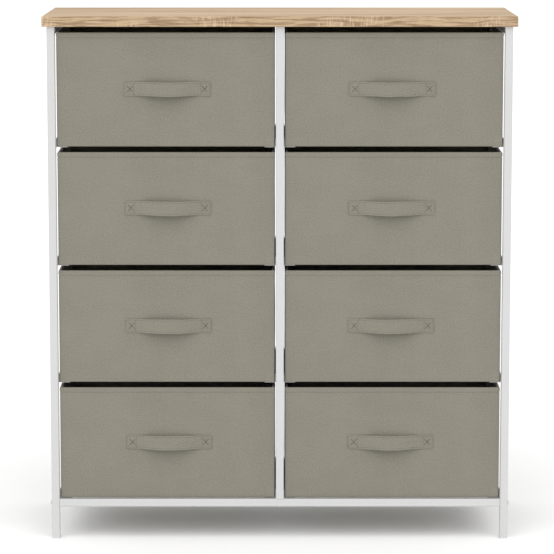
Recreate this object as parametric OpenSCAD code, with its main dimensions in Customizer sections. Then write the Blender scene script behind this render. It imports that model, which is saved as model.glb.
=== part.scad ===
// Dresser with two columns of pull-out fabric drawers in a frame of square
// steel tube, under a laminated board.
// Frame of reference: the front faces -Y, +X is to the right, +Z is up, and
// the origin is on the floor under the middle of the whole outline.

/* [Frame] */
// Width over the side posts
frame_w = 814; // [600:2:1000]
// Depth over the front and rear posts
frame_d = 288; // [260:2:400]
// Side of the square tube
tube = 14; // [14:1:20]
// Wall of the square tube
tube_wall = 1; // [0.8:0.1:1.2]
// Outer corner radius of the square tube
tube_r = 2; // [1.5:0.1:3]
// Floor to the underside of the bottom rails
leg_clear = 58; // [30:1:150]
// Thickness of a foot cap under its post
foot_t = 2; // [1:0.5:4]

/* [Top board] */
// Thickness of the board
top_t = 18; // [15:1:25]
// Overhang of the board past the posts at each side
side_over = 8; // [4:1:20]
// Overhang of the board past the posts at the front and at the rear
end_over = 6; // [4:1:12]
// Gap between the board and the top drawers
top_gap = 10.5; // [5:0.5:20]

/* [Drawers] */
// Rows of drawers
rows = 4; // [2:1:4]
// Height of a drawer
drawer_h = 200; // [120:5:220]
// Gap between one row of drawers and the next
row_gap = 10; // [6:1:20]
// Gap between a drawer's side and its runner
side_gap = 1.1; // [0.8:0.1:4]
// Drawer front to the front plane of the posts
inset = 6; // [4:0.5:10]
// Thickness of the fabric
fabric_t = 1; // [0.6:0.1:1.5]
// Thickness of the stiffening boards inside the walls
board_t = 2.5; // [2:0.1:4]
// Thickness of the base board
base_t = 3; // [2:0.5:5]

/* [Strap handles] */
// Length of a strap from end to end
strap_len = 152; // [120:1:180]
// Width of the webbing
strap_w = 25; // [20:1:40]
// Thickness of the webbing
strap_t = 2; // [1.5:0.1:3]
// Length sewn flat at each end
tab_len = 19; // [15:1:25]
// Height of the finger gap behind the bow
bow_gap = 14; // [12:1:20]
// Strap's middle above the drawer's middle
strap_rise = 1.5; // [0:0.5:20]
// Strap's middle from the drawer's middle, towards the middle post
strap_in = 3; // [0:0.5:10]

/* [Runners] */
// Thickness of the angle
runner_t = 1.2; // [1:0.1:2]
// Width of the shelf that carries the drawer
shelf_w = 20; // [12:1:30]
// Height of the upright leg, welded to the posts
leg_h = 15.5; // [10:0.5:20]
// Height of the stop turned up at the rear end
stop_h = 12; // [6:1:20]
// Runner's front end to the front plane of the posts
runner_front = 10.5; // [0:0.5:12]
// Runner's rear end to the rear plane of the posts
runner_back = 1; // [0:0.5:3]

/* [Fasteners] */
// Diameter of the frame bolts
bolt_d = 6; // [5:1:6]
// Length of the frame bolts under the head
bolt_len = 30; // [26:1:34]
// Diameter of a bolt's button head
bolt_head_d = 11.6; // [10:0.2:13]
// Height of a bolt's button head
bolt_head_h = 2.4; // [2:0.2:3]
// Diameter of the screws that hold the board
screw_d = 4; // [3:0.5:4]
// How far these screws enter the board
screw_bite = 11; // [8:1:12]
// Screws to the middle of their rail
screw_y = 90; // [60:5:100]

/* [Hidden] */
$fn = 48;

// clearances
slide_gap = 0.3;
stop_gap = 0.4;
joint_gap = 0.5;
bolt_slack = 0.5;
thread_slack = 0.2;
// small parts
insert_len = 12;
foot_plug_h = 14;
socket_d = 3.6;
socket_depth = 1.4;
screw_head_d = 8;
screw_head_h = 2.5;

// heights
rail_z = leg_clear;
rail_top = rail_z + tube;
pitch = drawer_h + row_gap;
board_z = rail_top + runner_t + slide_gap + (rows - 1) * pitch + drawer_h + top_gap;
top_rail_z = board_z - tube;

// depths: the strap handles stand proud of the board, and the origin is at
// the middle of the two together
strap_out = bow_gap + strap_t;
strap_past_board = max(0, strap_out - inset - end_over);
board_w = frame_w + 2 * side_over;
board_d = frame_d + 2 * end_over;
board_y = strap_past_board / 2 - board_d / 2;
front_y = board_y + end_over;
rear_y = front_y + frame_d;
mid_y = (front_y + rear_y) / 2;
front_post_y = front_y + tube / 2;
rear_post_y = rear_y - tube / 2;
span_y = frame_d - 2 * tube;

// widths
side_post_x = frame_w / 2 - tube / 2;
rail_len = frame_w - 2 * tube;
bay_w = (frame_w - 3 * tube) / 2;
bay_x = (tube + bay_w) / 2;

// drawers
drawer_w = bay_w - 2 * (runner_t + side_gap);
drawer_y = front_y + inset;
drawer_d = frame_d - runner_back - runner_t - stop_gap - inset;
wall = 2 * fabric_t + board_t;
floor_t = fabric_t + base_t;
runner_len = frame_d - runner_front - runner_back;

// the strap's bow: an arc through both sewn ends and over the finger gap
bow_half = strap_len / 2 - tab_len;
tab_lap = strap_t / 2;
bow_r = (bow_half * bow_half + bow_gap * bow_gap) / (2 * bow_gap);

// colours
white_steel = [0.87, 0.87, 0.87];
dark_steel = [0.62, 0.62, 0.62];
white_plastic = [0.82, 0.82, 0.82];
oak = [0.79, 0.68, 0.55];
greige = [0.57, 0.56, 0.51];
greige_strap = [0.53, 0.52, 0.47];
grey_board = [0.66, 0.62, 0.55];
brown_board = [0.6, 0.5, 0.38];

SIDES = ["left", "right"];
ROWS = [for (r = [1 : rows]) r];
FRAME_NODES = [
    "top_board",
    "left_front_post", "left_rear_post",
    "mid_front_post", "mid_rear_post",
    "right_front_post", "right_rear_post",
    "left_top_rail", "mid_top_rail", "right_top_rail",
    "bottom_front_rail", "bottom_rear_rail",
    "foot_caps", "frame_bolts", "nut_inserts", "top_screws"
];
RUNNER_NODES = [for (r = ROWS, n = ["left_runner_", "mid_runners_", "right_runner_"]) str(n, r)];
DRAWER_NODES = [
    for (s = SIDES, r = ROWS, p = ["cover", "wall_boards", "base_board", "strap"])
        str(s, "_drawer_", r, "_", p)
];

// -1 for the left side, 1 for the right side
function side_sign(s) = s == "left" ? -1 : 1;
// top face of the runners' shelves in a row, where row 1 is the top one
function shelf_z(r) = rail_top + runner_t + (rows - r) * pitch;

// ---- stock ----

module rounded_square(size, r) {
    square([size - 2 * r, size], center = true);
    square([size, size - 2 * r], center = true);
    for (x = [-1, 1], y = [-1, 1])
        translate([x * (size / 2 - r), y * (size / 2 - r)])
            circle(r);
}

// square tube along +Z from the origin
module square_tube(len) {
    linear_extrude(len)
        difference() {
            rounded_square(tube, tube_r);
            square(tube - 2 * tube_wall, center = true);
        }
}

// square tube along +Y from the origin
module tube_along_y(len) {
    rotate([-90, 0, 0])
        square_tube(len);
}

// button-head bolt along +Z, head below z = 0
module button_bolt() {
    dome_r = (bolt_head_d * bolt_head_d / 4 + bolt_head_h * bolt_head_h) / (2 * bolt_head_h);
    cylinder(h = bolt_len, d = bolt_d);
    difference() {
        intersection() {
            translate([0, 0, -bolt_head_h])
                cylinder(h = bolt_head_h, d = bolt_head_d);
            translate([0, 0, dome_r - bolt_head_h])
                sphere(dome_r);
        }
        translate([0, 0, -bolt_head_h - 1])
            cylinder(h = socket_depth + 1, d = socket_d, $fn = 6);
    }
}

// place children at each end of each bottom rail, +Z pointing into the rail
module at_rail_ends() {
    for (s = [-1, 1], y = [front_post_y, rear_post_y])
        translate([s * frame_w / 2, y, rail_z + tube / 2])
            rotate([0, -s * 90, 0])
                children();
}

// place children under each bottom rail's middle, +Z pointing into the middle post
module at_mid_posts() {
    for (y = [front_post_y, rear_post_y])
        translate([0, y, rail_z])
            children();
}

// place children at the board's screws, at the underside of the top rails
module at_top_screws() {
    for (x = [-side_post_x, 0, side_post_x], y = [-screw_y, screw_y])
        translate([x, mid_y + y, top_rail_z])
            children();
}

module bolt_hole() {
    translate([0, 0, -1])
        cylinder(h = bolt_len + 2, d = bolt_d + bolt_slack);
}

// ---- frame ----

module top_board() {
    color(oak)
        difference() {
            translate([-board_w / 2, board_y, board_z])
                cube([board_w, board_d, top_t]);
            at_top_screws()
                cylinder(h = tube + screw_bite + 1, d = screw_d + thread_slack);
        }
}

// a side post stands on its foot cap and reaches up to the board
module side_post(x, y) {
    color(white_steel)
        difference() {
            translate([x, y, foot_t])
                square_tube(board_z - foot_t);
            at_rail_ends()
                bolt_hole();
        }
}

// a middle post stands on its bottom rail
module mid_post(y) {
    color(white_steel)
        translate([0, y, rail_top])
            square_tube(board_z - rail_top);
}

module top_rail(x) {
    color(white_steel)
        difference() {
            translate([x, front_y + tube, top_rail_z + tube / 2])
                tube_along_y(span_y);
            at_top_screws()
                translate([0, 0, -1])
                    cylinder(h = tube + 2, d = screw_d + bolt_slack);
        }
}

module bottom_rail(y) {
    color(white_steel)
        difference() {
            translate([-rail_len / 2, y, rail_z + tube / 2])
                rotate([0, 90, 0])
                    square_tube(rail_len);
            at_mid_posts()
                bolt_hole();
        }
}

// angle that carries one side of a drawer; its upright leg lies on x = 0
module runner() {
    cube([runner_t, runner_len, leg_h]);
    cube([shelf_w, runner_len, runner_t]);
    translate([0, runner_len - runner_t, 0])
        cube([shelf_w, runner_t, stop_h]);
}

module side_runner(s, r) {
    color(white_steel)
        translate([side_sign(s) * (frame_w / 2 - tube), front_y + runner_front, shelf_z(r) - runner_t])
            mirror([side_sign(s) > 0 ? 1 : 0, 0, 0])
                runner();
}

// the two runners on the middle posts
module mid_runners(r) {
    color(white_steel)
        for (m = [0, 1])
            mirror([m, 0, 0])
                translate([tube / 2, front_y + runner_front, shelf_z(r) - runner_t])
                    runner();
}

module foot_caps() {
    plug_w = tube - 2 * tube_wall - thread_slack;
    color(white_plastic)
        for (x = [-side_post_x, side_post_x], y = [front_post_y, rear_post_y])
            translate([x, y, 0]) {
                linear_extrude(foot_t)
                    rounded_square(tube, tube_r);
                translate([-plug_w / 2, -plug_w / 2, 0])
                    cube([plug_w, plug_w, foot_t + foot_plug_h]);
            }
}

module frame_bolts() {
    color(dark_steel) {
        at_rail_ends()
            button_bolt();
        at_mid_posts()
            button_bolt();
    }
}

// threaded plugs that the bolts screw into, just inside the tubes' ends
module nut_insert() {
    insert_w = tube - 2 * tube_wall - thread_slack;
    translate([0, 0, tube + joint_gap])
        linear_extrude(insert_len)
            difference() {
                square(insert_w, center = true);
                circle(d = bolt_d + thread_slack);
            }
}

module nut_inserts() {
    color(dark_steel) {
        at_rail_ends()
            nut_insert();
        at_mid_posts()
            nut_insert();
    }
}

module top_screws() {
    color(dark_steel)
        at_top_screws() {
            cylinder(h = tube + screw_bite, d = screw_d);
            translate([0, 0, -screw_head_h])
                cylinder(h = screw_head_h, d = screw_head_d);
        }
}

// ---- drawers ----

// place children at the lower front left corner of a drawer
module at_drawer(s, r) {
    translate([side_sign(s) * bay_x - drawer_w / 2, drawer_y, shelf_z(r) + slide_gap])
        children();
}

// the drawer's outline, drawn in by m on all four sides
module drawer_block(m, z, h) {
    translate([m, m, z])
        cube([drawer_w - 2 * m, drawer_d - 2 * m, h]);
}

// fabric box: an outer skin turned over the rim and down the inside, with a
// pocket all round for the wall boards
module cover(s, r) {
    color(greige)
        at_drawer(s, r)
            difference() {
                drawer_block(0, 0, drawer_h);
                drawer_block(wall, fabric_t, drawer_h);
                difference() {
                    drawer_block(fabric_t, fabric_t, drawer_h - 2 * fabric_t);
                    drawer_block(fabric_t + board_t, floor_t, drawer_h);
                }
            }
}

module wall_boards(s, r) {
    board_h = drawer_h - 2 * fabric_t;
    side_len = drawer_d - 2 * (fabric_t + board_t + joint_gap);
    color(grey_board)
        at_drawer(s, r) {
            for (y = [fabric_t, drawer_d - fabric_t - board_t])
                translate([fabric_t, y, fabric_t])
                    cube([drawer_w - 2 * fabric_t, board_t, board_h]);
            for (x = [fabric_t, drawer_w - fabric_t - board_t])
                translate([x, fabric_t + board_t + joint_gap, fabric_t])
                    cube([board_t, side_len, board_h]);
        }
}

module base_board(s, r) {
    color(brown_board)
        at_drawer(s, r)
            drawer_block(fabric_t + board_t + joint_gap, fabric_t, base_t);
}

// outline of a strap, seen from above, lying on y = 0 and bowed towards +y
module strap_outline() {
    tab = tab_len + tab_lap;
    for (m = [-1, 1])
        translate([m * (strap_len - tab) / 2, strap_t / 2])
            square([tab, strap_t], center = true);
    intersection() {
        translate([0, bow_gap - bow_r])
            difference() {
                circle(bow_r + strap_t, $fn = 240);
                circle(bow_r, $fn = 240);
            }
        translate([-strap_len / 2, 0])
            square([strap_len, 2 * strap_out]);
    }
}

module strap(s, r) {
    color(greige_strap)
        at_drawer(s, r)
            translate([
                drawer_w / 2 - side_sign(s) * strap_in,
                0,
                drawer_h / 2 + strap_rise - strap_w / 2
            ])
                mirror([0, 1, 0])
                    linear_extrude(strap_w)
                        strap_outline();
}

top_board();
side_post(-side_post_x, front_post_y);  // left_front_post
side_post(-side_post_x, rear_post_y);  // left_rear_post
mid_post(front_post_y);  // mid_front_post
mid_post(rear_post_y);  // mid_rear_post
side_post(side_post_x, front_post_y);  // right_front_post
side_post(side_post_x, rear_post_y);  // right_rear_post
top_rail(-side_post_x);  // left_top_rail
top_rail(0);  // mid_top_rail
top_rail(side_post_x);  // right_top_rail
bottom_rail(front_post_y);  // bottom_front_rail
bottom_rail(rear_post_y);  // bottom_rear_rail
foot_caps();
frame_bolts();
nut_inserts();
top_screws();
for (r = ROWS) {
    side_runner("left", r);
    mid_runners(r);
    side_runner("right", r);
}
for (s = SIDES, r = ROWS) {
    cover(s, r);
    wall_boards(s, r);
    base_board(s, r);
    strap(s, r);
}
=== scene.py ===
"""The looks of a dresser with fabric drawers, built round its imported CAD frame.

Everything is in metres in the frame of the CAD part: the front faces -Y, +X is to the
right, +Z is up, and the origin is on the floor. The sewn drawer covers, their strap
handles and seams, the base boards and the laminated top are modelled here. The steel
frame, the runners, the foot caps, the stiffener boards and the fasteners are the CAD
nodes themselves.
"""
import math

import bpy
import numpy as np
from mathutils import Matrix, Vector


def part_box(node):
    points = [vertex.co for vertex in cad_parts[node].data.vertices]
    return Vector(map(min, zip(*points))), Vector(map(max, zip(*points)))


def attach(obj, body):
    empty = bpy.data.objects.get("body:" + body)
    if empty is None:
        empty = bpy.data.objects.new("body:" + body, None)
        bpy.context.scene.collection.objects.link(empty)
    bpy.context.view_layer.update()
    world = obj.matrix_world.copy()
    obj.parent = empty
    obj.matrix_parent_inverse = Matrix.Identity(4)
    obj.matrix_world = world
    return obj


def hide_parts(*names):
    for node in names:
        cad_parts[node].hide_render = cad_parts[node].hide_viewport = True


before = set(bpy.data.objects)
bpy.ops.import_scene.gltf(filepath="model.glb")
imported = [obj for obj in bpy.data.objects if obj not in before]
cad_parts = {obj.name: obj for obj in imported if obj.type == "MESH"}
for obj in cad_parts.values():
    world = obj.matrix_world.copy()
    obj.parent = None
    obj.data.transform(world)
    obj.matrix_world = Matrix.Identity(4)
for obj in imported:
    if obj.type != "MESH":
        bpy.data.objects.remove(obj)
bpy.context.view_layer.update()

MM = 0.001
TURN = 2 * math.pi

# the drawers' names, as the CAD part lists them, and where their seeds count up from
DRAWERS = [side + "_drawer_" + str(row) for side in ("left", "right") for row in (1, 2, 3, 4)]
COVER_SEED = 100
STRAP_SEED = 200

# sewn cover: an outer and an inner skin of cloth with a pocket for the stiffener boards
CLOTH = 1.0 * MM
WALL = 4.5 * MM
CORNER = 1.3 * MM
INNER_CORNER = 1.0 * MM
POCKET_CORNER = 0.2 * MM
BOTTOM_ROUND = 2.2 * MM
FLOOR_GAP = 0.2 * MM
# its mesh: cell size along the walls, cells round a corner, rows up each skin, and how
# far in from the walls the floor becomes a single face
CELL = 6.0 * MM
CORNER_CELLS = 5
OUTER_ROWS = 15
INNER_ROWS = 12
FLOOR_EDGE = 20 * MM
# rolled rim and hem, measured down from the rim
HEM_DEPTH = 11.8 * MM
HEM_PROUD = 0.45 * MM
HEM_FOLD = 0.5 * MM
SEAM_DEPTH = 9.0 * MM
SEAM_GROOVE = 0.85 * MM
SEAM_WIDTH = 1.8 * MM
NECK_DEPTH = 3.3 * MM
NECK_GROOVE = 0.4 * MM
NECK_WIDTH = 0.45 * MM
# how much of the hem's shape shows on the inside, and how much of the walls' ripple the
# rolled rim follows
INNER_HEM = 0.7
RIM_LOOSE = 0.4
# how far the cloth wanders from flat
RIPPLE = 0.16 * MM
CREASE_SHARE = 0.22
PUCKER = 0.14 * MM
PUCKER_REACH = 5.5 * MM
SIDE_BULGE = 0.45 * MM

# strap handle: its lower edge bows out furthest, and its sewn ends are pressed to this
# share of its thickness
PRESSED = 0.85
BOW_SHAPE = 1.6
TOP_EDGE_BOW = 0.5
SAG = 0.5 * MM
HALF_THICK = 1.0 * MM
SEWN_END = 19.0 * MM
STRAP_TIP = 0.6 * MM
# how far its outside crumples and its edges sway, and the share of crumple left where sewn
STRAP_CRUMPLE = 0.22 * MM
STRAP_SWAY = 0.25 * MM
SEWN_CRUMPLE = 0.25
# its mesh: places across one side, and where the bow's stations start and their number
STRAP_PLACES = 47
BOW_START = 21 * MM
BOW_STATIONS = 70
# its seams: along both edges, across each sewn end, and a cross in each
EDGE_SEAM = 2.9 * MM
STRAP_GROOVE = 0.45 * MM
EDGE_SEAM_WIDTH = 0.7 * MM
OUTER_SEAM = 2.0 * MM
INNER_SEAM = 1.5 * MM
INNER_GROOVE = 0.5 * MM
INNER_SEAM_WIDTH = 0.8 * MM
CROSS_HALF_LENGTH = 4.8 * MM
CROSS_HALF_WIDTH = 5.4 * MM
CROSS_FROM_END = 10.6 * MM
CROSS_GROOVE = 0.8 * MM
CROSS_LINE_WIDTH = 0.75 * MM
# how deep in their groove the stitches of the inner seam and of the cross lie
INNER_SUNK = 0.7 * INNER_GROOVE
CROSS_SUNK = 0.4 * CROSS_GROOVE

# thread: distance between stitches, their length, the most of that distance that one may
# take, and their thickness
STITCH_PITCH = 3.3 * MM
CROSS_PITCH = 2.4 * MM
STITCH_LENGTH = 2.5 * MM
STITCH_SHARE = 0.8
THREAD = 0.5 * MM
EDGE_THREAD = 0.4 * MM
CROSS_THREAD = 0.9 * MM

# laminated top board
EASED = 1.2 * MM
BAND = 0.8 * MM
BAND_GROOVE = 0.12 * MM
BOARD_CORNER = 1.5 * MM
# base panel in a drawer, which has no groove
PANEL_CORNER = 2.0 * MM
PANEL_EASED = 0.5 * MM
PANEL_EDGE = 2.0 * MM
# cells round a board's corner, steps round its eased edge, and its least corner radius
BOARD_CORNER_CELLS = 6
EASED_STEPS = 4
LEAST_CORNER = 0.3 * MM

# studio: all-round fill, what the camera sees behind, the lamp's strength, its width in
# degrees and where it points, and how far the pale floor reaches and how faintly it
# glows, which is painted light that pales the shadows cast on the floor
FILL = 0.80
BACKDROP = 1.0
LAMP_STRENGTH = 1.55
LAMP_WIDTH = 76
LAMP_TOWARD = (0.03, 0.68, -0.73)
FLOOR_REACH = 150.0
PAINTED_GLOW = 0.045

# camera: metres in front of the top board, degrees above its upper face, degrees that it
# looks down, lens in mm, shift as a share of the frame, and metres to the right
STAND_OFF = 4.8
RISE = 3.2
TILT = 8.145
LENS = 179.0
SHIFT = -0.04
CAMERA_X = -0.005


# ---------------------------------------------------------------- mesh building

def make_piece(name, points, faces, corner_uv, uv_name, materials, face_material=None,
               sharp_above=40):
    """A mesh object with its UVs in metres, smooth except where faces meet sharply."""
    mesh = bpy.data.meshes.new(name)
    mesh.from_pydata([tuple(p) for p in points], [], [tuple(f) for f in faces])
    for material in materials:
        mesh.materials.append(material)
    if corner_uv is not None:
        layer = mesh.uv_layers.new(name=uv_name)
        layer.data.foreach_set("uv", np.asarray(corner_uv, np.float32).ravel())
    if face_material is not None:
        mesh.polygons.foreach_set("material_index", face_material)
    mesh.polygons.foreach_set("use_smooth", [True] * len(mesh.polygons))
    mesh.set_sharp_from_angle(angle=math.radians(sharp_above))
    mesh.update()
    piece = bpy.data.objects.new(name, mesh)
    bpy.context.scene.collection.objects.link(piece)
    return piece


def rounded_loop(half_x, half_y, radius, cells_x, cells_y, arc_cells):
    """Points round a rectangle with round corners, anticlockwise from above.

    Returns the points and the outward direction at each. It starts where the front
    face meets the right-hand corner.
    """
    points = []
    outward = []
    centre_x = half_x - radius
    centre_y = half_y - radius
    corners = [(centre_x, -centre_y), (centre_x, centre_y),
               (-centre_x, centre_y), (-centre_x, -centre_y)]
    for quarter, (cx, cy) in enumerate(corners):
        for i in range(arc_cells + 1):
            angle = (quarter - 1 + i / arc_cells) * math.pi / 2
            direction = np.array([math.cos(angle), math.sin(angle)])
            points.append(np.array([cx, cy]) + radius * direction)
            outward.append(direction)
        next_corner = np.array(corners[(quarter + 1) % 4])
        start = points[-1]
        end = next_corner + radius * outward[-1]
        cells = cells_y if quarter % 2 == 0 else cells_x
        for i in range(1, cells):
            points.append(start + (end - start) * i / cells)
            outward.append(outward[-1])
    return np.array(points), np.array(outward)


def ring_distance(points):
    """Distance along a closed loop at each point, with the whole length as the last value."""
    steps = np.linalg.norm(np.roll(points, -1, axis=0) - points, axis=1)
    return np.concatenate([[0.0], np.cumsum(steps)])


def skin_rings(count, size):
    """Quads between successive closed rings of equal size, as rows of point numbers."""
    here = np.arange(size)
    after = (here + 1) % size
    faces = []
    for ring in range(count - 1):
        low = ring * size
        high = low + size
        faces.append(np.stack([low + here, low + after, high + after, high + here], axis=1))
    return np.concatenate(faces)


def end_caps(count, size):
    """The faces that close the first and the last ring of skin_rings."""
    last = (count - 1) * size
    return [list(range(size - 1, -1, -1)), list(range(last, last + size))]


def skin_uv(round_values, ring_values):
    """Corner UVs for skin_rings: u from the place round the ring, v from the ring."""
    left = round_values[:-1]
    right = round_values[1:]
    uv = []
    for ring in range(len(ring_values) - 1):
        low = np.full(len(left), ring_values[ring])
        high = np.full(len(left), ring_values[ring + 1])
        uv.append(np.stack([left, low, right, low, right, high, left, high], axis=1))
    return np.concatenate(uv).reshape(-1, 2)


def waves(rng, along, up, count, shortest, longest):
    """A smooth field of about -1 to 1: some waves of seeded length, direction and phase."""
    field = np.zeros_like(along)
    for _ in range(count):
        length = rng.uniform(shortest, longest)
        turn = rng.uniform(0, math.pi)
        phase = rng.uniform(0, TURN)
        field += np.sin(TURN * (along * math.cos(turn) + up * math.sin(turn)) / length + phase)
    return field / math.sqrt(count)


def ease(value, low, high):
    """0 below low, 1 above high, smooth between."""
    t = np.clip((value - low) / (high - low), 0, 1)
    return t * t * (3 - 2 * t)


def bump_at(distance, centre, width):
    """1 at the centre, falling to 0 on both sides of it."""
    return np.exp(-((distance - centre) / width) ** 2)


# ---------------------------------------------------------------- stitches

class Thread:
    """Gathers stitches, each a short spindle of thread, into one mesh."""

    # place along the stitch and share of its full thickness there
    RINGS = ((-0.5, 0.3), (-0.25, 0.9), (0.25, 0.9), (0.5, 0.3))
    SIDES = 6

    def __init__(self):
        self.points = []
        self.faces = []
        self.size = 0

    def add(self, centres, tangents, normals, length=STITCH_LENGTH, width=THREAD):
        across = np.cross(tangents, normals)
        for centre, tangent, normal, side in zip(centres, tangents, normals, across):
            for place, swell in self.RINGS:
                for k in range(self.SIDES):
                    angle = TURN * k / self.SIDES
                    radial = math.cos(angle) * side + math.sin(angle) * normal
                    self.points.append(centre + tangent * place * length
                                       + radial * swell * width / 2)
            rings = len(self.RINGS)
            faces = skin_rings(rings, self.SIDES).tolist() + end_caps(rings, self.SIDES)
            self.faces.extend([self.size + k for k in face] for face in faces)
            self.size += rings * self.SIDES

    def piece(self, name, material):
        return make_piece(name, self.points, self.faces, None, "", [material], sharp_above=80)


# ---------------------------------------------------------------- drawer cover

class Cover:
    """Where one drawer's cover stands, and how its cloth wanders from flat."""

    def __init__(self, drawer, seed):
        self.seed = seed
        self.low, self.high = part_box(drawer + "_cover")
        self.height = self.high.z - self.low.z
        self.half_x = (self.high.x - self.low.x) / 2
        self.half_y = (self.high.y - self.low.y) / 2
        self.centre = np.array([(self.low.x + self.high.x) / 2,
                                (self.low.y + self.high.y) / 2])

    def outline(self, inset, radius):
        """A loop this far inside the outer face, with the outward direction at each point."""
        cells_x = round(2 * self.half_x / CELL)
        cells_y = round(2 * self.half_y / CELL)
        return rounded_loop(self.half_x - inset, self.half_y - inset, radius,
                            cells_x, cells_y, CORNER_CELLS)

    def ripple(self, along, up):
        """How far the cloth stands out at a distance along the outline and a height.

        It is a slight bulge of the two side walls, long waves and fainter creases on all
        four walls, and short puckers at the seam.
        """
        rng = np.random.default_rng(self.seed)
        side_x = 2 * self.half_x
        side_y = 2 * self.half_y
        place = np.mod(along, side_x + side_y)
        to_corner = np.minimum(np.abs(place - side_y),
                               np.minimum(place, side_x + side_y - place))
        stiff_corner = ease(to_corner, 2 * MM, 45 * MM)
        stiff_floor = ease(up, 3 * MM, 40 * MM)
        long_waves = waves(rng, along, up, count=9, shortest=50 * MM, longest=210 * MM)
        creases = waves(rng, along, up, count=7, shortest=18 * MM, longest=40 * MM)
        bulge = SIDE_BULGE * (place < side_y)
        loose = bulge + RIPPLE * (long_waves + CREASE_SHARE * creases)
        near_seam = bump_at(up, self.height - SEAM_DEPTH, PUCKER_REACH)
        puckers = waves(rng, along, 0 * up, count=6, shortest=8 * MM, longest=17 * MM)
        wall = loose * stiff_corner * stiff_floor
        return wall + PUCKER * puckers * near_seam * ease(to_corner, 1 * MM, 12 * MM)


def hem_stand(depth):
    """How far the outside of the hem stands off the wall at a depth below the rim."""
    fold = HEM_PROUD * ease(HEM_DEPTH - depth, 0, HEM_FOLD)
    seam = SEAM_GROOVE * bump_at(depth, SEAM_DEPTH, SEAM_WIDTH)
    neck = NECK_GROOVE * bump_at(depth, NECK_DEPTH, NECK_WIDTH)
    return fold - seam - neck


def hem_depths():
    """Depths below the rim, from the wall up to the neck, closer where the shape bends."""
    wide = [15.0, 13.2]
    fold = [12.3, 11.8, 11.55, 11.3, 11.0]
    seam = [10.4, 9.9, 9.45, 9.0, 8.55, 8.1, 7.6, 7.0]
    neck = [5.6, 4.4, 3.8, 3.5, 3.2, 2.9]
    return np.array(wide + fold + seam + neck) * MM


def outer_skin(height):
    """Rows of cover_profile from under the floor up the outside to the neck."""
    rows = [(FLOOR_EDGE, 0, INNER_CORNER, 0)]
    steps = 4
    for i in range(steps + 1):
        angle = math.pi / 2 * i / steps
        inset = BOTTOM_ROUND * (1 - math.sin(angle))
        rows.append((inset, BOTTOM_ROUND * (1 - math.cos(angle)), CORNER - inset / 2, 0))
    wall_height = height - hem_depths()[0] - BOTTOM_ROUND
    for share in np.linspace(0.04, 0.96, OUTER_ROWS):
        rows.append((0, BOTTOM_ROUND + share * wall_height, CORNER, 1))
    for depth in hem_depths():
        rows.append((-hem_stand(depth), height - depth, CORNER, 1))
    return rows


def rolled_rim(height):
    """Rows of cover_profile over the rim, from the outer skin to the inner one."""
    rows = []
    rim = WALL / 2
    steps = 8
    for i in range(steps + 1):
        angle = math.pi * i / steps
        inset = rim - (rim + HEM_PROUD) * math.cos(angle)
        radius = CORNER + (INNER_CORNER - CORNER) * i / steps
        rows.append((inset, height - rim + rim * math.sin(angle), radius, RIM_LOOSE))
    return rows


def inner_skin(height):
    """Rows of cover_profile down the inside, then up and down the pocket for the boards."""
    rows = []
    for depth in hem_depths()[::-1]:
        rows.append((WALL + hem_stand(depth) * INNER_HEM, height - depth, INNER_CORNER, 1))
    wall_height = height - hem_depths()[0] - CLOTH
    for share in np.linspace(0.96, 0.04, INNER_ROWS):
        rows.append((WALL, CLOTH + share * wall_height, INNER_CORNER, 1))
    rows.append((WALL, CLOTH + FLOOR_GAP, INNER_CORNER, 0))
    rows.append((WALL - CLOTH, CLOTH + FLOOR_GAP, POCKET_CORNER, 0))
    rows.append((WALL - CLOTH, height - CLOTH, POCKET_CORNER, 0))
    rows.append((CLOTH, height - CLOTH, POCKET_CORNER, 0))
    rows.append((CLOTH, CLOTH, POCKET_CORNER, 0))
    rows.append((FLOOR_EDGE, CLOTH, INNER_CORNER, 0))
    return rows


def cover_profile(height):
    """One line round the cloth, from the floor's underside over the rim to the floor's top.

    Each row is how far in from the outer face, the height, the corner radius in plan, and
    how much the cloth may ripple there.
    """
    return np.array(outer_skin(height) + rolled_rim(height) + inner_skin(height))


def cover_points(cover, profile, along):
    """The points of the cover, one ring for each row of the profile."""
    rings = []
    for inset, z, radius, loose in profile:
        loop, outward = cover.outline(inset, radius)
        ripple = cover.ripple(along, np.full_like(along, z))
        loop = loop + outward * (loose * ripple)[:, None] + cover.centre
        rings.append(np.column_stack([loop, np.full(len(loop), cover.low.z + z)]))
    return np.concatenate(rings)


def build_cover(drawer, seed, cloth, thread):
    """The sewn cover of one drawer. Adds its hem stitches to thread."""
    cover = Cover(drawer, seed)
    profile = cover_profile(cover.height)
    outer, _ = cover.outline(0, CORNER)
    along = ring_distance(outer)
    points = cover_points(cover, profile, along[:-1])
    caps = end_caps(len(profile), len(outer))
    faces = skin_rings(len(profile), len(outer)).tolist() + caps

    steps = np.linalg.norm(np.diff(profile[:, :2], axis=0), axis=1)
    run = np.concatenate([[0.0], np.cumsum(steps)])
    cap_uv = np.array([points[i][:2] for i in caps[0] + caps[1]])
    uv = np.concatenate([skin_uv(along, run), cap_uv])
    piece = make_piece(drawer + "_sewn_cover", points, faces, uv, "cloth", [cloth])
    stitch_hem(cover, thread)
    return piece


def stitch_hem(cover, thread):
    """A row of stitches in the hem's groove, round the outside and round the inside."""
    groove = SEAM_GROOVE - HEM_PROUD
    inside = WALL - groove * INNER_HEM
    for inset, radius, facing in ((groove, CORNER, 1), (inside, INNER_CORNER, -1)):
        stitch_ring(cover, thread, inset, radius, facing)


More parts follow.
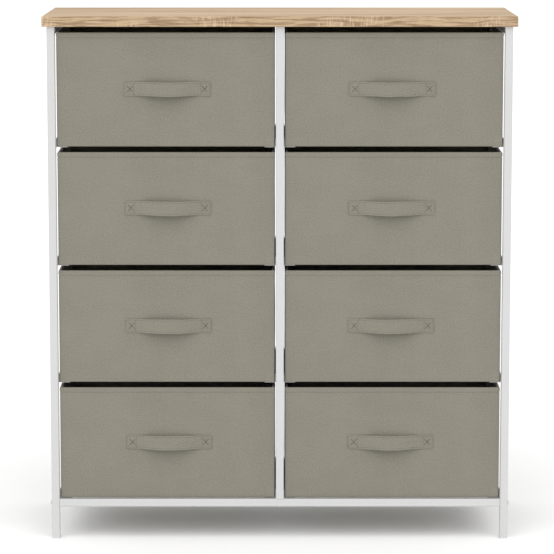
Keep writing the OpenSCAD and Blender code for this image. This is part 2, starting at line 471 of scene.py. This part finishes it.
def stitch_ring(cover, thread, inset, radius, facing):
    """Stitches along the four walls at one inset, standing in or out with the cloth."""
    seam_up = cover.height - SEAM_DEPTH
    arc = CORNER * math.pi / 2
    outer_x = cover.half_x - CORNER
    outer_y = cover.half_y - CORNER
    to_x = cover.half_x - inset
    to_y = cover.half_y - inset
    # outward and along each wall, how far out the stitches are, and half the wall's
    # straight length there and on the outer face
    walls = [((1, 0), (0, 1), to_x, to_y - radius, outer_y),
             ((0, 1), (-1, 0), to_y, to_x - radius, outer_x),
             ((-1, 0), (0, -1), to_x, to_y - radius, outer_y),
             ((0, -1), (1, 0), to_y, to_x - radius, outer_x)]
    start = arc
    for out, run, distance, reach, outer_reach in walls:
        count = int(2 * reach / STITCH_PITCH)
        places = (np.arange(count) - (count - 1) / 2) * STITCH_PITCH
        out = np.array([*out, 0.0])
        run = np.array([*run, 0.0])
        along = start + outer_reach * (1 + places / reach)
        stand = cover.ripple(along, np.full_like(along, seam_up))
        start += 2 * outer_reach + arc
        middle = np.array([*cover.centre, cover.low.z + seam_up]) + out * distance
        centres = middle + places[:, None] * run + stand[:, None] * out
        normals = np.tile(out * facing, (count, 1))
        thread.add(centres, np.tile(run, (count, 1)), normals)


# ---------------------------------------------------------------- strap handle

class Strap:
    """A strap lying on a drawer's front, sewn flat at both ends and bowed between them."""

    def __init__(self, drawer, seed):
        self.seed = seed
        self.low, self.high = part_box(drawer + "_strap")
        self.face_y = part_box(drawer + "_cover")[0].y
        self.half_length = (self.high.x - self.low.x) / 2
        self.half_width = (self.high.z - self.low.z) / 2
        self.half_bow = self.half_length - SEWN_END
        self.gap = self.face_y - self.low.y - 2 * HALF_THICK
        self.middle_x = (self.low.x + self.high.x) / 2
        self.middle_z = (self.low.z + self.high.z) / 2

    def at(self, s, w, lift):
        """Points at s along and w up the strap, lift off its mid-plane, with tangent and normal."""
        t = np.clip(np.abs(s) / self.half_bow, 0, 1)
        below_top = np.clip(0.5 - w / (2 * self.half_width), 0, 1)
        reach = self.gap * (TOP_EDGE_BOW + (1 - TOP_EDGE_BOW) * below_top)
        bow = reach * (1 - t ** 2) ** BOW_SHAPE
        sag = SAG * (1 - t ** 2) ** 2
        slope = (-2 * reach * BOW_SHAPE * t * (1 - t ** 2) ** (BOW_SHAPE - 1)
                 * np.sign(s) / self.half_bow)
        norm = np.sqrt(1 + slope ** 2)
        zero = np.zeros_like(norm)
        tangent = np.stack([1 / norm, -slope / norm, zero], axis=-1)
        normal = np.stack([-slope / norm, -1 / norm, zero], axis=-1)
        spine = np.stack([self.middle_x + s, self.face_y - HALF_THICK - bow,
                          self.middle_z + w - sag], axis=-1)
        return spine + normal * lift[..., None], tangent, normal

    def relief(self, s, w):
        """How far the crumpled outside stands off at each point, and the strap's sway there."""
        rng = np.random.default_rng(self.seed)
        free = ease(self.half_bow - np.abs(s), 0, 14 * MM)
        crumple = waves(rng, s, w, count=8, shortest=7 * MM, longest=22 * MM)
        sway = waves(rng, s, 0 * w, count=4, shortest=20 * MM, longest=60 * MM)
        held = SEWN_CRUMPLE + (1 - SEWN_CRUMPLE) * free
        return STRAP_CRUMPLE * crumple * held, STRAP_SWAY * sway


def strap_section(half_width):
    """The strap's section as width and lift, with a groove under each long edge's seam."""
    rows = []
    flat = half_width - HALF_THICK
    seam = half_width - EDGE_SEAM
    places = np.linspace(-flat, flat, STRAP_PLACES)
    for w in places:
        groove = STRAP_GROOVE * bump_at(abs(w), seam, EDGE_SEAM_WIDTH)
        rows.append((w, HALF_THICK - groove))
    for i in (1, 2, 3):
        angle = math.pi / 2 - math.pi * i / 4
        rows.append((flat + HALF_THICK * math.cos(angle), HALF_THICK * math.sin(angle)))
    for w in places[::-1]:
        rows.append((w, -HALF_THICK))
    for i in (1, 2, 3):
        angle = -math.pi / 2 - math.pi * i / 4
        rows.append((-flat + HALF_THICK * math.cos(angle), HALF_THICK * math.sin(angle)))
    return np.array(rows)


def strap_stations(end):
    """Places along the strap, every half millimetre in the sewn ends and wider in the bow."""
    sewn = np.arange(1.0, 20.5, 0.5) * MM
    tip = [0, 0.2 * MM, STRAP_TIP]
    bow = np.linspace(BOW_START - end, end - BOW_START, BOW_STATIONS)
    return np.concatenate([[place - end for place in tip], sewn - end, bow,
                           (end - sewn)[::-1], [end - place for place in tip[::-1]]])


def pressed_flat(strap, s, lift):
    """The same lift where the strap is free, thinned down onto the drawer where it is sewn."""
    sewn = 1 - ease(strap.half_bow - np.abs(s), -2 * MM, 8 * MM)
    thin = 1 - (1 - PRESSED) * sewn
    return lift * thin - HALF_THICK * (1 - thin)


def cross_line(strap, s, w):
    """1 on the lines of the sewn crosses at both ends of a strap, falling to 0 beside them."""
    beyond = np.abs(np.abs(s) - (strap.half_length - CROSS_FROM_END))
    off = np.abs(np.abs(w) * CROSS_HALF_LENGTH - beyond * CROSS_HALF_WIDTH)
    off = off / math.hypot(CROSS_HALF_LENGTH, CROSS_HALF_WIDTH)
    within = ease(CROSS_HALF_LENGTH - beyond, -0.5 * MM, 0.5 * MM)
    return bump_at(off, 0, CROSS_LINE_WIDTH) * within


def strap_points(strap, section, stations):
    """The points of the strap, one ring for each station along it."""
    s = np.repeat(stations[:, None], len(section), axis=1)
    w = np.repeat(section[:, 0][None, :], len(stations), axis=0)
    from_end = np.clip((strap.half_length - np.abs(stations)) / STRAP_TIP, 0, 1)
    rounded = np.sqrt(np.clip(1 - (1 - from_end) ** 2, 0.09, 1))
    lift = section[:, 1][None, :] * rounded[:, None]
    crumple, sway = strap.relief(s, w)
    dip = INNER_GROOVE * bump_at(np.abs(s), strap.half_bow + INNER_SEAM, INNER_SEAM_WIDTH)
    dip = dip + CROSS_GROOVE * cross_line(strap, s, w)
    outside = lift > 0
    lift = pressed_flat(strap, s, lift + (crumple - dip) * outside)
    points, _, _ = strap.at(s, w + sway, lift)
    return points.reshape(-1, 3)


def build_strap(drawer, seed, webbing, thread):
    """The strap handle of one drawer. Adds its stitches to thread."""
    strap = Strap(drawer, seed)
    section = strap_section(strap.half_width)
    stations = strap_stations(strap.half_length)
    points = strap_points(strap, section, stations)
    size = len(section)
    caps = end_caps(len(stations), size)
    faces = skin_rings(len(stations), size).tolist() + caps

    # u runs along the strap and v round it
    girth = ring_distance(section)
    uv = skin_uv(girth, stations)[:, ::-1]
    cap_uv = np.array([[0.0, girth[i % size]] for i in caps[0] + caps[1]])
    piece = make_piece(drawer + "_webbing_strap", points, faces,
                       np.concatenate([uv, cap_uv]), "cloth", [webbing], sharp_above=60)
    stitch_strap(strap, thread)
    return piece


def stitch_line(strap, thread, start, stop, width, sunk=0.0, stitch=STITCH_PITCH):
    """Stitches on the strap's outside along a straight line from (s, w) to (s, w)."""
    start = np.array(start)
    stop = np.array(stop)
    length = np.linalg.norm(stop - start)
    direction = (stop - start) / length
    count = max(2, round(length / stitch))
    pitch = length / count
    places = start + direction * ((np.arange(count) + 0.5) * pitch)[:, None]
    s, w = places[:, 0], places[:, 1]
    crumple, sway = strap.relief(s, w)
    lift = pressed_flat(strap, s, HALF_THICK - sunk + crumple)
    centres, tangent, normal = strap.at(s, w + sway, lift)
    up = np.array([0.0, 0.0, 1.0])
    runs = tangent * direction[0] + up * direction[1]
    reach = min(STITCH_LENGTH, pitch * STITCH_SHARE)
    thread.add(centres, runs, normal, length=reach, width=width)


def stitch_strap(strap, thread):
    """The seams along both edges, across each sewn end, and the cross in it."""
    edge = strap.half_width - EDGE_SEAM
    end = strap.half_length - OUTER_SEAM
    inner = strap.half_bow + INNER_SEAM
    for w in (-edge, edge):
        stitch_line(strap, thread, (-end, w), (end, w), EDGE_THREAD, STRAP_GROOVE)
    for side in (-1, 1):
        stitch_line(strap, thread, (side * end, -edge), (side * end, edge), EDGE_THREAD)
        stitch_line(strap, thread, (side * inner, -edge), (side * inner, edge), THREAD,
                    INNER_SUNK)
        middle = side * (strap.half_length - CROSS_FROM_END)
        for slant in (-1, 1):
            stitch_line(strap, thread,
                        (middle - CROSS_HALF_LENGTH, -slant * CROSS_HALF_WIDTH),
                        (middle + CROSS_HALF_LENGTH, slant * CROSS_HALF_WIDTH),
                        CROSS_THREAD, CROSS_SUNK, CROSS_PITCH)


# ---------------------------------------------------------------- boards

def slab_profile(thick, eased, groove_at, groove):
    """Inset and height round a board's edge from its underside to its top.

    Returns the rows, and the numbers of those where the edge band starts and ends: each is
    the bottom of the fine groove in one face, between two rows that lie level.
    """
    under = [(groove_at * 1.6, 0), (groove_at * 1.15, 0), (groove_at, groove),
             (groove_at * 0.85, 0)]
    band_first = 2
    for i in range(EASED_STEPS + 1):
        angle = math.pi / 2 * i / EASED_STEPS
        under.append((eased * (1 - math.sin(angle)), eased * (1 - math.cos(angle))))
    rows = under + [(inset, thick - z) for inset, z in under[::-1]]
    return rows, band_first, len(rows) - 1 - band_first


def slab_uv(points, faces, along, band_faces):
    """Corner UVs in metres: along the edge and up on the band, x and y on the faces."""
    uv = []
    for number, face in enumerate(faces):
        if number in band_faces:
            left = along[number % (len(along) - 1)]
            right = along[number % (len(along) - 1) + 1]
            uv += [(u, points[k][2]) for u, k in zip((left, right, right, left), face)]
        else:
            uv += [tuple(points[k][:2]) for k in face]
    return uv


def slab(name, low, high, corner, eased, groove_at, groove, uv_name, materials):
    """A flat board with round corners and eased edges, whose edge band ends in a fine groove.

    The faces take the first material and the band the last.
    """
    half_x = (high.x - low.x) / 2
    half_y = (high.y - low.y) / 2
    centre = np.array([(low.x + high.x) / 2, (low.y + high.y) / 2])
    rows, band_first, band_last = slab_profile(high.z - low.z, eased, groove_at, groove)
    rings = []
    for inset, z in rows:
        radius = max(corner - inset, LEAST_CORNER)
        loop, _ = rounded_loop(half_x - inset, half_y - inset, radius, 1, 1, BOARD_CORNER_CELLS)
        rings.append(np.column_stack([loop + centre, np.full(len(loop), low.z + z)]))
    size = len(rings[0])
    points = np.concatenate(rings)
    faces = skin_rings(len(rows), size).tolist() + end_caps(len(rows), size)
    along = ring_distance(rings[len(rows) // 2][:, :2])
    band_faces = range(band_first * size, band_last * size)
    uv = slab_uv(points, faces, along, band_faces)
    index = [len(materials) - 1 if k in band_faces else 0 for k in range(len(faces))]
    return make_piece(name, points, faces, uv, uv_name, materials, index, sharp_above=50)


# ---------------------------------------------------------------- material helpers

class Recipe:
    """A node material under construction. Its methods add nodes and return their sockets."""

    def __init__(self, name):
        self.material = bpy.data.materials.new(name)
        self.material.use_nodes = True
        self.tree = self.material.node_tree
        self.shader = self.tree.nodes["Principled BSDF"]

    def feed(self, socket, value):
        """Link a socket's value in, or set a constant straight on the socket."""
        if isinstance(value, bpy.types.NodeSocket):
            self.tree.links.new(value, socket)
        elif isinstance(value, (tuple, list)) and len(value) == 3 and socket.type == "RGBA":
            socket.default_value = (*value, 1)
        else:
            socket.default_value = value

    def node(self, kind, inputs=None, **settings):
        made = self.tree.nodes.new(kind)
        for key, value in settings.items():
            setattr(made, key, value)
        for key, value in (inputs or {}).items():
            self.feed(made.inputs[key], value)
        return made

    def object_place(self):
        return self.node("ShaderNodeTexCoord").outputs["Object"]

    def uv_place(self, name):
        return self.node("ShaderNodeUVMap", uv_map=name).outputs["UV"]

    def stretch(self, vector, scale, shift=(0, 0, 0)):
        made = self.node("ShaderNodeMapping", {"Vector": vector, "Scale": scale, "Location": shift})
        return made.outputs["Vector"]

    def noise(self, vector, scale, detail=2.0, rough=0.5, distortion=0.0):
        made = self.node("ShaderNodeTexNoise", {"Vector": vector, "Scale": scale, "Detail": detail,
                                                "Roughness": rough, "Distortion": distortion})
        return made.outputs["Fac"]

    def sum(self, *values):
        total = values[0]
        for value in values[1:]:
            total = self.calc("ADD", total, value)
        return total

    def calc(self, operation, a, b=0.0, clamp=False):
        made = self.node("ShaderNodeMath", {0: a, 1: b}, operation=operation, use_clamp=clamp)
        return made.outputs["Value"]

    def remap(self, value, low, high, new_low=0.0, new_high=1.0, smooth=True):
        made = self.node("ShaderNodeMapRange",
                         {"Value": value, "From Min": low, "From Max": high,
                          "To Min": new_low, "To Max": new_high},
                         interpolation_type="SMOOTHSTEP" if smooth else "LINEAR")
        return made.outputs["Result"]

    def centred(self, value, weight):
        """weight times how far value is from a half."""
        return self.calc("MULTIPLY", self.calc("SUBTRACT", value, 0.5), weight)

    def blend(self, factor, a, b):
        """Colour a where factor is 0 and b where it is 1."""
        # a Mix node's colour sockets come after its float and vector ones
        made = self.node("ShaderNodeMix", data_type="RGBA")
        self.feed(made.inputs[0], factor)
        self.feed(made.inputs[6], a)
        self.feed(made.inputs[7], b)
        return made.outputs[2]

    def bump(self, height, distance, strength=1.0, normal=None):
        made = self.node("ShaderNodeBump", {"Height": height, "Distance": distance,
                                            "Strength": strength})
        if normal is not None:
            self.feed(made.inputs["Normal"], normal)
        return made.outputs["Normal"]

    def finish(self, colour, roughness, normal=None, **constants):
        self.feed(self.shader.inputs["Base Color"], colour)
        self.feed(self.shader.inputs["Roughness"], roughness)
        if normal is not None:
            self.feed(self.shader.inputs["Normal"], normal)
        for key, value in constants.items():
            self.shader.inputs[key.replace("_", " ")].default_value = value
        return self.material


# ---------------------------------------------------------------- materials

def woven_cloth(name, dark, light, thread_pitch):
    """Plain-woven cloth with slubs, mottling and a soft crumple. Its UVs are in metres."""
    r = Recipe(name)
    place = r.uv_place("cloth")
    drift = r.noise(r.stretch(place, (260, 260, 1)), 1.0, 1)
    counted = r.stretch(place, (1 / thread_pitch, 1 / thread_pitch, 1))
    parts = r.node("ShaderNodeSeparateXYZ", {"Vector": counted}).outputs
    across = r.calc("ADD", parts["X"], r.centred(drift, 0.5))
    up = r.calc("ADD", parts["Y"], r.centred(drift, 0.5))
    warp = r.calc("ABSOLUTE", r.calc("SINE", r.calc("MULTIPLY", across, math.pi)))
    weft = r.calc("ABSOLUTE", r.calc("SINE", r.calc("MULTIPLY", up, math.pi)))
    cells = r.node("ShaderNodeCombineXYZ", {"X": across, "Y": up, "Z": 0.5}).outputs["Vector"]
    over = r.node("ShaderNodeTexChecker", {"Vector": cells, "Scale": 1.0}).outputs["Fac"]
    weave = r.sum(r.calc("MULTIPLY", over, warp),
                  r.calc("MULTIPLY", r.calc("SUBTRACT", 1.0, over), weft))
    slub_across = r.noise(r.stretch(place, (22, 900, 1)), 1.0, 2)
    slub_up = r.noise(r.stretch(place, (900, 22, 1)), 1.0, 2)
    mottle = r.noise(r.stretch(place, (400, 400, 1)), 1.0, 3, 0.65)
    cloud = r.noise(r.stretch(place, (14, 14, 1)), 1.0, 2)
    tone = r.sum(0.5, r.centred(weave, 0.5), r.centred(slub_across, 0.7), r.centred(slub_up, 0.5),
                 r.centred(mottle, 4.2), r.centred(cloud, 1.0))
    colour = r.blend(r.remap(tone, 0.0, 1.0, smooth=False), dark, light)
    crumple = r.noise(r.stretch(place, (60, 60, 1)), 1.0, 3)
    fuzz = r.noise(r.stretch(place, (2200, 2200, 1)), 1.0, 1)
    soft = r.bump(crumple, 0.5 * MM, 0.5)
    normal = r.bump(r.sum(weave, r.centred(fuzz, 0.5), r.centred(slub_across, 0.6)),
                    0.16 * MM, 0.55, soft)
    return r.finish(colour, r.remap(mottle, 0.2, 0.8, 0.86, 0.95), normal,
                    Specular_IOR_Level=0.25, Sheen_Weight=0.12, Sheen_Roughness=0.5)


def sewing_thread(name, dark, light):
    """Twisted thread, a little uneven in shade."""
    r = Recipe(name)
    place = r.object_place()
    twist = r.noise(r.stretch(place, (2600, 2600, 2600)), 1.0, 1)
    shade = r.noise(r.stretch(place, (45, 45, 45)), 1.0, 2)
    tone = r.sum(0.5, r.centred(twist, 0.9), r.centred(shade, 0.6))
    return r.finish(r.blend(tone, dark, light), r.remap(twist, 0.2, 0.8, 0.6, 0.8),
                    r.bump(twist, 0.08 * MM, 0.6), Specular_IOR_Level=0.3)


def powder_coat(name, dark, light, base_roughness):
    """Sprayed and baked coat: orange peel, a few settled specks, faint unevenness."""
    r = Recipe(name)
    place = r.object_place()
    peel = r.noise(place, 620.0, 2)
    cloud = r.noise(place, 9.0, 3)
    speck = r.remap(r.noise(place, 1500.0, 1), 0.70, 0.78)
    tone = r.sum(0.55, r.centred(cloud, 0.9), r.centred(peel, 0.25),
                 r.calc("MULTIPLY", speck, -0.4))
    roughness = r.sum(base_roughness, r.centred(cloud, 0.14), r.centred(peel, 0.10))
    return r.finish(r.blend(tone, dark, light), roughness, r.bump(peel, 0.10 * MM, 0.35),
                    Specular_IOR_Level=0.5)


def moulded_plastic(name, dark, light):
    """Moulded plastic with a fine grain."""
    r = Recipe(name)
    place = r.object_place()
    grain = r.noise(place, 1800.0, 3)
    cloud = r.noise(place, 40.0, 2)
    tone = r.sum(0.5, r.centred(cloud, 0.8), r.centred(grain, 0.3))
    return r.finish(r.blend(tone, dark, light), r.remap(grain, 0.3, 0.7, 0.48, 0.62),
                    r.bump(grain, 0.05 * MM, 0.4))


def zinc_plate(name):
    """Bright zinc with the streaks and spangle of barrel plating."""
    r = Recipe(name)
    place = r.object_place()
    spangle = r.node("ShaderNodeTexVoronoi", {"Vector": place, "Scale": 420.0}).outputs["Distance"]
    cloud = r.noise(place, 120.0, 3)
    tone = r.sum(0.4, r.centred(cloud, 0.7), r.centred(spangle, 0.4))
    return r.finish(r.blend(tone, (0.40, 0.40, 0.39), (0.68, 0.68, 0.66)),
                    r.remap(cloud, 0.3, 0.7, 0.28, 0.45), r.bump(spangle, 0.03 * MM, 0.3),
                    Metallic=1.0)


def pressed_board(name, dark, light, fibre_scale):
    """Raw fibre or grey board: short matted fibres and darker flecks."""
    r = Recipe(name)
    place = r.object_place()
    fibre_a = r.noise(r.stretch(place, (fibre_scale, fibre_scale * 5, fibre_scale * 5)), 1.0, 3)
    fibre_b = r.noise(r.stretch(place, (fibre_scale * 5, fibre_scale, fibre_scale * 5)), 1.0, 3)
    cloud = r.noise(place, 16.0, 3)
    fleck = r.remap(r.noise(place, fibre_scale * 4.0, 2), 0.66, 0.74)
    tone = r.sum(0.5, r.centred(fibre_a, 1.0), r.centred(fibre_b, 1.0), r.centred(cloud, 0.7),
                 r.calc("MULTIPLY", fleck, -0.35))
    rough = r.bump(r.sum(fibre_a, fibre_b), 0.12 * MM, 0.5)
    return r.finish(r.blend(tone, dark, light), r.remap(cloud, 0.2, 0.8, 0.78, 0.9), rough,
                    Specular_IOR_Level=0.2)


def oak_print(name, dark, light, pale, figure):
    """Printed rough-sawn oak. u runs along the grain, v across it, both in metres.

    figure holds how often the figure repeats per metre, along and across the grain, how
    many metres the grain wanders sideways, and how softly the dark streaks end.
    """
    r = Recipe(name)
    place = r.uv_place("print")
    along, across, wander, soft = figure
    parts = r.node("ShaderNodeSeparateXYZ", {"Vector": place}).outputs
    bend = r.noise(r.stretch(place, (along * 0.55, across * 0.10, 1)), 1.0, 2)
    bent_v = r.calc("ADD", parts["Y"], r.centred(bend, wander))
    grain = r.node("ShaderNodeCombineXYZ", {"X": parts["X"], "Y": bent_v}).outputs["Vector"]
    lens = r.noise(r.stretch(grain, (along, across, 1), (3.1, 0.7, 0)), 1.0, 4, 0.6, 0.3)
    streak = r.remap(lens, 0.5 - soft, 0.5 + soft)
    ring = r.noise(r.stretch(grain, (along * 0.8, across * 3.0, 1), (0.2, 5.1, 0)), 1.0, 3, 0.65)
    fibre = r.noise(r.stretch(grain, (30, 700, 1)), 1.0, 3, 0.65)
    vein = r.remap(r.noise(r.stretch(grain, (90, 900, 1), (0.4, 2.2, 0)), 1.0, 2), 0.58, 0.66)
    patch = r.noise(r.stretch(place, (along * 0.7, across * 0.08, 1), (9.3, 4.4, 0)), 1.0, 1)
    saw = r.noise(r.stretch(place, (400, 40, 1)), 1.0, 1)
    saw = r.calc("MULTIPLY", r.remap(saw, 0.54, 0.62), r.remap(patch, 0.52, 0.60))
    tone = r.sum(0.57, r.centred(streak, 0.66), r.centred(ring, 1.5), r.centred(fibre, 1.1),
                 r.calc("MULTIPLY", vein, -0.28))
    wood = r.blend(r.remap(tone, 0.0, 1.0, smooth=False), dark, light)
    wood = r.blend(r.calc("MULTIPLY", saw, 0.75), wood, pale)
    relief = r.bump(r.sum(fibre, r.calc("MULTIPLY", vein, -0.8), r.calc("MULTIPLY", saw, 0.5)),
                    0.08 * MM, 0.4)
    return r.finish(wood, r.remap(fibre, 0.2, 0.8, 0.55, 0.70), relief, Specular_IOR_Level=0.25)


def pale_floor(name):
    """The studio's matt white sweep, which glows faintly: painted light that pales the shadows on
    it.
    """
    r = Recipe(name)
    place = r.object_place()
    cloud = r.noise(place, 0.35, 2)
    colour = r.blend(cloud, (0.955, 0.955, 0.955), (0.96, 0.96, 0.96))
    # the emission is painted light that lifts the shadows on the floor
    return r.finish(colour, 0.9, Specular_IOR_Level=0.0, Emission_Strength=PAINTED_GLOW)


# ---------------------------------------------------------------- light, floor and camera

def build_light():
    """White all-round studio light with one very large soft lamp above and in front."""
    scene = bpy.context.scene
    scene.view_settings.view_transform = "Standard"
    world = bpy.data.worlds.new("studio")
    world.use_nodes = True
    scene.world = world
    nodes = world.node_tree.nodes
    links = world.node_tree.links
    fill = nodes["Background"]
    fill.inputs["Color"].default_value = (1, 1, 1, 1)
    fill.inputs["Strength"].default_value = FILL
    backdrop = nodes.new("ShaderNodeBackground")
    backdrop.inputs["Color"].default_value = (1, 1, 1, 1)
    backdrop.inputs["Strength"].default_value = BACKDROP
    seen = nodes.new("ShaderNodeLightPath")
    either = nodes.new("ShaderNodeMixShader")
    links.new(seen.outputs["Is Camera Ray"], either.inputs[0])
    links.new(fill.outputs[0], either.inputs[1])
    links.new(backdrop.outputs[0], either.inputs[2])
    links.new(either.outputs[0], nodes["World Output"].inputs["Surface"])

    lamp = bpy.data.lights.new("softbox", "SUN")
    lamp.energy = LAMP_STRENGTH
    lamp.angle = math.radians(LAMP_WIDTH)
    holder = bpy.data.objects.new("softbox", lamp)
    holder.rotation_euler = Vector(LAMP_TOWARD).to_track_quat("-Z", "Y").to_euler()
    scene.collection.objects.link(holder)


def build_floor():
    """A flat floor that reaches far beyond the view on every side."""
    reach = FLOOR_REACH
    corners = [(-reach, -reach, 0), (reach, -reach, 0), (reach, reach, 0), (-reach, reach, 0)]
    mesh = bpy.data.meshes.new("floor")
    mesh.from_pydata(corners, [], [(0, 1, 2, 3)])
    mesh.materials.append(pale_floor("pale_floor"))
    floor = bpy.data.objects.new("floor", mesh)
    bpy.context.scene.collection.objects.link(floor)


def build_camera():
    """A long lens a little above the top board, so that its upper face just shows."""
    top_low, top_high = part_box("top_board")
    data = bpy.data.cameras.new("camera")
    data.lens = LENS
    data.shift_y = SHIFT
    camera = bpy.data.objects.new("camera", data)
    camera.location = (CAMERA_X, top_low.y - STAND_OFF,
                       top_high.z + STAND_OFF * math.tan(math.radians(RISE)))
    camera.rotation_euler = (math.radians(90 - TILT), 0, 0)
    bpy.context.scene.collection.objects.link(camera)
    bpy.context.scene.camera = camera


# ---------------------------------------------------------------- the dresser

build_camera()
build_light()
build_floor()

cloth = woven_cloth("drawer_cloth", (0.199, 0.187, 0.151), (0.246, 0.232, 0.191), 1.0 * MM)
webbing = woven_cloth("strap_cloth", (0.197, 0.185, 0.149), (0.243, 0.229, 0.188), 0.9 * MM)
thread_look = sewing_thread("sewing_thread", (0.094, 0.087, 0.069), (0.143, 0.133, 0.107))
steel = powder_coat("white_powder_coat", (0.535, 0.535, 0.535), (0.575, 0.575, 0.575), 0.36)
bolt_paint = powder_coat("bolt_paint", (0.50, 0.50, 0.50), (0.56, 0.56, 0.56), 0.32)
plastic = moulded_plastic("foot_plastic", (0.535, 0.535, 0.535), (0.585, 0.585, 0.585))
zinc = zinc_plate("zinc_plate")
grey_board = pressed_board("stiffener_board", (0.34, 0.29, 0.22), (0.48, 0.42, 0.33), 260.0)
fibreboard = pressed_board("fibreboard", (0.26, 0.18, 0.11), (0.42, 0.31, 0.21), 420.0)
oak_face = oak_print("oak_face", (0.35, 0.230, 0.130), (0.640, 0.488, 0.322),
                     (0.62, 0.48, 0.33), (1.6, 24.0, 0.045, 0.25))
oak_band = oak_print("oak_band", (0.25, 0.160, 0.088), (0.510, 0.370, 0.230),
                     (0.60, 0.46, 0.31), (13.0, 230.0, 0.014, 0.04))

# the CAD nodes that show and are neither grey board nor steel
CAD_LOOKS = {
    "foot_caps": plastic,
    "frame_bolts": bolt_paint,
    "nut_inserts": zinc,
    "top_screws": zinc,
}


def dress_cad():
    """Give every CAD node its material."""
    for name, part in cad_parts.items():
        look = CAD_LOOKS.get(name, grey_board if name.endswith("_wall_boards") else steel)
        part.data.materials.clear()
        part.data.materials.append(look)


def build_top():
    """The laminated top board, with its edge band."""
    low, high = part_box("top_board")
    top = slab("laminated_top", low, high, BOARD_CORNER, EASED, BAND + EASED, BAND_GROOVE,
               "print", [oak_face, oak_band])
    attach(top, "frame")
    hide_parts("top_board")


def build_drawer(number, drawer):
    """One drawer's cover, strap, seams and base panel, which all ride on it."""
    thread = Thread()
    cover = build_cover(drawer, COVER_SEED + number, cloth, thread)
    strap = build_strap(drawer, STRAP_SEED + number, webbing, thread)
    seams = thread.piece(drawer + "_seams", thread_look)
    low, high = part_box(drawer + "_base_board")
    base = slab(drawer + "_base_panel", low, high, PANEL_CORNER, PANEL_EASED, PANEL_EDGE, 0.0,
                "print", [fibreboard])
    for piece, slot_name in ((cover, "drawer_fabric"), (strap, "strap_fabric"),
                             (seams, "drawer_fabric"), (base, "base_board")):
        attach(piece, drawer)
    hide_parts(drawer + "_cover")
    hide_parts(drawer + "_strap")
    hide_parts(drawer + "_base_board")


dress_cad()
build_top()
for number, drawer in enumerate(DRAWERS):
    build_drawer(number, drawer)
